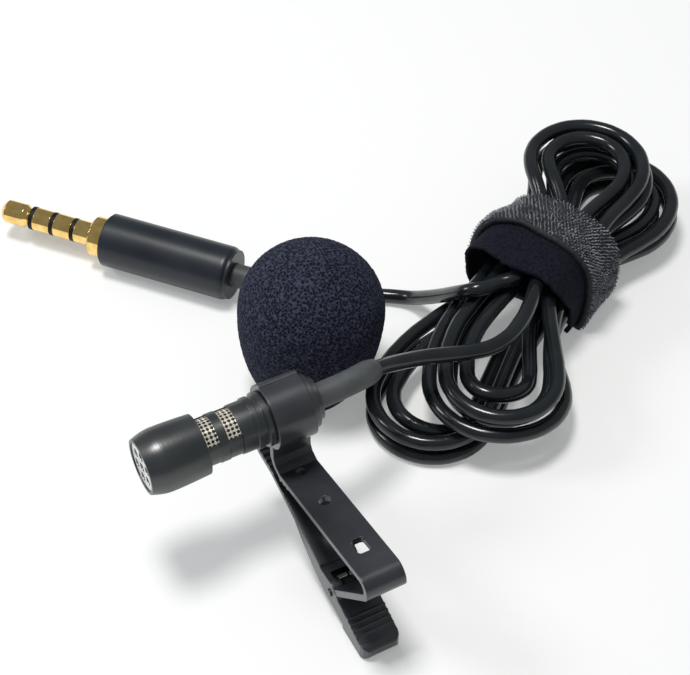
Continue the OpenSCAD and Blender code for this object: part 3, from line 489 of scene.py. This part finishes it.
def half_turn(side, k0, k1, q0, q1, f):
    """A point of one half loop, at f from 0 to 1 along it.

    Side 1 is the hank's far end and side -1 its near end. The half loop goes from layer k0 to k1,
    and from q0 to q1 steps inwards. It runs out from the waist, round the lobe and back.
    """
    q, flat, rise = mixed(q0, q1, f), 0, 0
    if k0 != k1:
        shift_at, shift_for, sink_at, sink_for, bulge = INNER_MOVE if q0 > 1 else OUTER_MOVE
        flat, rise = ease((f - shift_at) / shift_for), ease((f - sink_at) / sink_for)
        q += bulge * math.sin(math.pi * f)
    lobes = FAR_LOBES if side > 0 else NEAR_LOBES
    lobe = [mixed(a, b, flat) for a, b in zip(lobes[k0], lobes[k1])]
    top = mixed(lobes[k0][4], lobes[k1][4], rise)
    waist_z = WAIST_H + WAIST_RISE * mixed(k0, k1, rise)
    waist = mixed(WAIST[k0], WAIST[k1], flat) - WAIST_STEP * q
    radius = lobe[2] - HANK_STEP * q
    psi = HANK_DIR + (0 if side > 0 else 180) + mixed(LAYER_TURN[k0], LAYER_TURN[k1], flat)
    out, left = heading(psi), heading(psi + 90)
    centre, lobe_out, lobe_left = Vector(lobe[:2]), heading(lobe[3]), heading(lobe[3] + 90)
    if LOBE_FROM <= f <= LOBE_TO:
        a = math.radians((f - LOBE_FROM) / (LOBE_TO - LOBE_FROM) * 180)
        p, up = centre + radius * (math.sin(a) * lobe_out - math.cos(a) * lobe_left), 1
    else:
        s = 1 if f > LOBE_TO else -1
        t = f / LOBE_FROM if f < LOBE_FROM else (1 - f) / (1 - LOBE_TO)
        p0, e = Vector((0, s * waist)), centre + s * radius * lobe_left
        reach = REACH_IN * (e - p0).length
        p1, p2 = p0 + Vector((reach, 0)), e - reach * lobe_out
        p = (1 - t) ** 3 * p0 + 3 * (1 - t) ** 2 * t * p1 + 3 * (1 - t) * t * t * p2 + t ** 3 * e
        up = ease(t)
    flat_place = Vector(HANK_C) + HANK_RUN * out + p.x * out + p.y * left
    return Vector((flat_place.x, flat_place.y, mixed(waist_z, top, up)))


# The half loops from the top layer down, every second layer wound outwards
turns = []
for k in (3, 2, 1, 0):
    outwards = k % 2 == 0
    steps = (1.5, 1, 0.5, 0) if outwards else (0, 0.5, 1, 1.5)
    turns += [(side, k, k, q0, q1) for side, q0, q1 in zip((1, -1, 1), steps, steps[1:])]
    if k:
        turns.append((-1, k, k - 1, steps[-1], steps[-1]))


def along_hank(u, v, z):
    """A point u along the hank from its middle, v to its left and z above the table."""
    flat = Vector(HANK_C) + u * heading(HANK_DIR) + v * heading(HANK_DIR + 90)
    return Vector((flat.x, flat.y, z))


PLUG_AT, PLUG_DIR, PLUG_Z, PLUG_TO_CABLE = Vector((-4.67, 54.19)), heading(-49), 4.05, 26.1
HALF_TURN_STEPS, RUN_STEPS = 16, 3
stub_end = PLUG_AT + PLUG_TO_CABLE * PLUG_DIR
mic_run = spline([
    RELIEF_WAY[3], (17.3, 2.5, 16.1), (22.2, 2.9, 14.3), (27.5, 2, 13.2), (31, 1.5, 12.9),
    (34.4, 2.2, 12.9), (37.4, 3.9, 12.9), (40.1, 6.2, 12.9), (42.4, 8.5, 12.9), (44.9, 10.3, 12.9),
    along_hank(-4, -5.4, 12.5), along_hank(-2, -5.4, 11.8), along_hank(0, -5.1, 10.9)], RUN_STEPS)
hank = [half_turn(*turn, i / HALF_TURN_STEPS) for turn in turns for i in range(HALF_TURN_STEPS)]
hank.append(half_turn(*turns[-1], 1))
plug_run = spline([
    (stub_end.x, stub_end.y, PLUG_Z), (14.4, 32.4, 3.6), (17.2, 31.2, 2.3), (20.6, 30, 1.3),
    (24.9, 28, 1.1), (28.8, 25.8, 1.1), (31.5, 23.2, 1.8), (32.4, 20, 4.5), (32.9, 17.2, 7.2),
    (33.2, 14.7, 9.8), (33.7, 12.7, 11.8), (34.9, 11.8, 12.5), (36.6, 11.5, 12.5),
    (38.4, 11.4, 12.6), (40, 11, 12.8), (41.6, 11.7, 12.9), along_hank(-8, 0.5, 12.9),
    along_hank(-6.6, 3.6, 12.7), along_hank(-5.5, 6.2, 10.6), along_hank(-4.8, 7.1, 7.6),
    along_hank(-3.7, 6.9, 4.8), along_hank(-1.8, 6.4, 3.5)], RUN_STEPS)
way = mic_run + hank + plug_run[::-1]
curve = bpy.data.curves.new("cable", "CURVE")
curve.dimensions = "3D"
curve.bevel_depth = CABLE_D / 2 * MM
curve.bevel_resolution = 6
curve.resolution_u = 3
curve.use_fill_caps = True
line = curve.splines.new("BEZIER")
line.bezier_points.add(len(way) - 1)
for at, point in zip(way, line.bezier_points):
    point.co = (at + SHIFT) * MM
    point.handle_left_type = point.handle_right_type = "AUTO"
cable = bpy.data.objects.new("cable", curve)
bpy.context.scene.collection.objects.link(cable)
length = sum((b - a).length for a, b in zip(way, way[1:])) * MM

pvc = Finish("cable_pvc", Specular_IOR_Level=0.5)
handled = pvc.noise(2.5, 3)
fine = pvc.noise(0.3, 2)
pvc.set("Base Color", pvc.ramp(handled, (0.3, (0.008, 0.0105, 0.0125)), (0.8, (0.016, 0.02, 0.0225))))
pvc.set("Roughness", 0.13 + 0.09 * handled + 0.03 * fine)
pvc.set("Normal", pvc.bump(fine, 0.006, 0.4))
pvc.on(cable)
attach(cable, "microphone")
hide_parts("cable_mic_run", "cable_hank", "cable_plug_run")
(mic_run[0] + SHIFT) * MM

# ---- Tie ----
# A hook-and-loop strap wound twice round the waist of the hank. Rows of nylon hooks cover the outer
# turn. The inner turn, a dark pile of loops with some lint, stands out towards the near end.
TIE_T, TIE_LOW, TIE_ROOM = 1.0, 0.1, 0.1
TIE_TOP = WAIST_H + 3 * WAIST_RISE + CABLE_D / 2
# For places along the hank: how far the strap lies aside, half its width, and its rise
TIE_SECTIONS = ((-12, -1.2, 8.6, 3.4), (-8, -0.6, 8.7, 3.2), (-4.4, -0.1, 8.6, 3), (0.6, 0.2, 8, 1),
                (5, 1.0, 8.1, 1.3), (6, 1.2, 8.4, 1.6))
# Every 45 degrees round the hank from its left side: the far and near edges of the skewed outer
# turn, and the near edge of the inner one
TIE_FAR = (2.8, 2.4, 3.8, 4.4, 5.3, 5.2, 4.8, 3.8)
TIE_NEAR = (-7.6, -6.4, -4.4, -3.1, -2.4, -3, -4, -6)
PILE_NEAR = (-9.6, -11.6, -12.2, -9.8, -6.2, -4.6, -5.6, -8.2)
PILE_T, PILE_LAYER, PILE_OVERLAP, PILE_TURN = 0.45, -0.05, 2, (-45, 225)


def round_table(values, turn):
    """Smoothly between values that stand every 45 degrees."""
    at = turn / 45 % 8
    i = int(at)
    return mixed(values[i], values[(i + 1) % 8], ease(at - i) * 0.5 + (at - i) * 0.5)


def tie_at(u, turn, layer):
    """A point of the strap.

    It lies u along the hank, turn degrees round it, and in a layer from 0, inside, to 1, outside.
    """
    i = max(k for k in range(len(TIE_SECTIONS) - 1) if k == 0 or TIE_SECTIONS[k][0] <= u)
    a, b = TIE_SECTIONS[i:i + 2]
    aside, half, lift = (mixed(p, q, (u - a[0]) / (b[0] - a[0])) for p, q in zip(a[1:], b[1:]))
    x, y = math.cos(math.radians(turn)), math.sin(math.radians(turn))
    # The way round the waist is a rounded square, a little squarer on the right
    power = 3 - 0.5 * x
    g = (abs(x) ** power + abs(y) ** power) ** (-1 / power)
    inside = TIE_LOW + TIE_T
    middle, tall = (TIE_TOP + inside) / 2, (TIE_TOP - inside) / 2 + TIE_ROOM + TIE_T * layer + lift
    flat = (Vector(HANK_C) + u * heading(HANK_DIR)
            + (aside + (half + TIE_T * layer) * x * g) * heading(HANK_DIR + 90))
    return (Vector((flat.x, flat.y, max(TIE_LOW + 0.02, middle + tall * y * g))) + SHIFT) * MM


def tie_point(share, turn, layer):
    """A point of the outer turn, at a share from 0 to 1 of its width from the near edge."""
    return tie_at(mixed(round_table(TIE_NEAR, turn), round_table(TIE_FAR, turn), share), turn, layer)


def strap_piece(name, around, across, place, thickness):
    """A strip of strap, closed in thickness, whose outside is laid by place(u, v).

    Both u, across the strip, and v, along it, run from 0 to 1.
    """
    bm = bmesh.new()
    bmesh.ops.create_grid(bm, x_segments=across, y_segments=around, size=0.5)
    for v in bm.verts:
        v.co = place(v.co.x + 0.5, v.co.y + 0.5)
    bmesh.ops.remove_doubles(bm, verts=bm.verts[:], dist=1e-7)
    middle = sum((v.co for v in bm.verts), Vector()) / len(bm.verts)
    bm.normal_update()
    if sum((f.calc_center_median() - middle).normalized().dot(f.normal) for f in bm.faces) < 0:
        bmesh.ops.reverse_faces(bm, faces=bm.faces[:])
    piece = as_piece(name, bm)
    shell = piece.modifiers.new("thickness", "SOLIDIFY")
    shell.thickness, shell.offset = thickness * MM, -1
    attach(piece, "microphone")
    return piece


def outer_turn(u, v):
    return tie_point(u, v * 360, 1)


def inner_turn(u, v):
    """A point of the inner turn, whose near edge is a little ragged."""
    turn = mixed(*PILE_TURN, v)
    edge = round_table(PILE_NEAR, turn) + 0.25 * noise.noise(Vector((turn / 5, 0, 3)))
    return tie_at(mixed(round_table(TIE_NEAR, turn) + PILE_OVERLAP, edge, u), turn, PILE_LAYER)


strap = strap_piece("tie_strap", 160, 16, outer_turn, TIE_T)
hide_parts("cable_tie")
pile = strap_piece("tie_inner_turn", 150, 24, inner_turn, PILE_T)

backing = Finish("tape_backing", Roughness=0.7, Specular_IOR_Level=0.35)
weave = backing.noise(0.3, 3)
backing.set("Base Color", backing.ramp(weave, (0.3, (0.01, 0.011, 0.014)), (0.75, (0.03, 0.033, 0.039))))
backing.set("Normal", backing.bump(weave, 0.1))
backing.on(strap)

loops = Finish("loop_pile", Roughness=0.95, Specular_IOR_Level=0.15)
fuzz = loops.noise(0.22, 4, rough=0.7)
loops.set("Base Color", loops.ramp(fuzz, (0.35, (0.003, 0.0032, 0.007)), (0.8, (0.02, 0.022, 0.038))))
loops.set("Normal", loops.bump(fuzz, 0.25))
loops.on(pile)

SPIKES_AT_ONCE = 60


def spikes(name, count, place, length, width, thin, sides=4):
    """Many small spikes: place(i) gives the middle of each and the point that it leans to.

    They are made in small batches, because each cone takes longer as the mesh grows.
    """
    whole = bmesh.new()
    for start in range(0, count, SPIKES_AT_ONCE):
        bm = bmesh.new()
        for i in range(start, min(start + SPIKES_AT_ONCE, count)):
            at, to = place(i)
            lean = (to - at).to_track_quat("Z", "Y").to_matrix().to_4x4()
            bmesh.ops.create_cone(bm, cap_ends=True, segments=sides, radius1=width * MM,
                                  radius2=thin * MM, depth=length * MM,
                                  matrix=Matrix.Translation(at) @ lean)
        batch = bpy.data.meshes.new("batch")
        bm.to_mesh(batch)
        bm.free()
        whole.from_mesh(batch)
        bpy.data.meshes.remove(batch)
    piece = as_piece(name, whole, smooth=False)
    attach(piece, "microphone")
    return piece


HOOK_ROWS, HOOKS, HOOK_LOWEST, HOOK_WOBBLE = 20, 104, 0.0005, 0.00025
FIBRES, FIBRE_ROW, FIBRE_LENGTH = 90, 30, 0.0006


def hook(i):
    row, at = divmod(i, HOOKS)
    share, turn = (row + 0.5) / HOOK_ROWS, (at + 0.5 * (row % 2)) * 360 / HOOKS
    foot, out = tie_point(share, turn, 1), tie_point(share, turn, 1.3)
    foot.z = max(foot.z, HOOK_LOWEST)
    wobble = Vector((noise.noise(foot / 0.0004), noise.noise(foot / 0.0005 + Vector((5, 1, 2))),
                     noise.noise(foot / 0.0004 + Vector((1, 7, 4)))))
    return foot, out + wobble * HOOK_WOBBLE


def fibre(i):
    """Lint clings in three rows along the pile's near edge, down from its left side."""
    turn = 8 - 38 * (i % FIBRE_ROW) / (FIBRE_ROW - 1)
    near = round_table(PILE_NEAR, turn) + 0.4 + 0.5 * noise.noise(Vector((i * 0.37, 2, 1)))
    foot = tie_at(near, turn, PILE_LAYER)
    way = Vector((noise.noise(Vector((i * 1.7, 0.3, 0))), noise.noise(Vector((0.5, i * 1.3, 0))),
                  0.4 + 0.3 * (i % 3)))
    return foot, foot + way * FIBRE_LENGTH + Vector((-0.0003, 0.0002, 0))


hooks = spikes("tie_hooks", HOOK_ROWS * HOOKS, hook, 0.8, 0.12, 0.09)
nylon = Finish("hook_nylon", Roughness=0.32, Specular_IOR_Level=0.6)
nylon.set("Base Color", nylon.ramp(nylon.noise(0.7, 2), (0.3, (0.06, 0.067, 0.08)),
                                   (0.75, (0.42, 0.45, 0.5))))
nylon.on(hooks)

lint = spikes("tie_lint", FIBRES, fibre, 0.7, 0.035, 0.02, 3)
cotton = Finish("lint", Roughness=0.9)
cotton.set("Base Color", cotton.ramp(cotton.noise(0.6, 2), (0.3, (0.35, 0.36, 0.37)),
                                     (0.7, (0.75, 0.76, 0.78))))
cotton.on(lint)

# ---- Plug ----
# A 3.5 mm plug with four contacts: gold-plated brass, black insulating rings, a satin plastic
# housing moulded over it, and a short soft sleeve where the cable goes in.
gold = Finish("gold_plate", Metallic=1.0)
polish = gold.noise(0.6, 2)
gold.set("Base Color", gold.ramp(polish, (0.3, (0.86, 0.56, 0.17)), (0.7, (1.0, 0.74, 0.29))))
gold.set("Roughness", 0.06 + 0.06 * polish)
gold.set("Normal", gold.bump(gold.noise(0.15, 2), 0.004, 0.4, gold.round_edges(0.08)))
gold.on("plug_tip", "plug_ring_1", "plug_ring_2", "plug_sleeve")

insulator = Finish("insulating_rings", Roughness=0.5, Specular_IOR_Level=0.2)
insulator.set("Base Color", insulator.ramp(insulator.noise(0.3, 2), (0.3, (0.006, 0.006, 0.006)),
                                           (0.7, (0.012, 0.012, 0.013))))
insulator.on("plug_insulators")

housing = Finish("housing_plastic", Specular_IOR_Level=0.5)
satin = housing.noise(0.09, 3)
wear = housing.noise(3, 4)
housing.set("Base Color", housing.ramp(wear, (0.3, (0.0085, 0.0125, 0.019)),
                                       (0.75, (0.016, 0.022, 0.031))))
housing.set("Roughness", 0.27 + 0.12 * wear + 0.05 * satin)
housing.set("Normal", housing.bump(satin, 0.012, 0.7, housing.round_edges(0.15)))
housing.on("plug_housing")
rubber.on("plug_strain_relief")
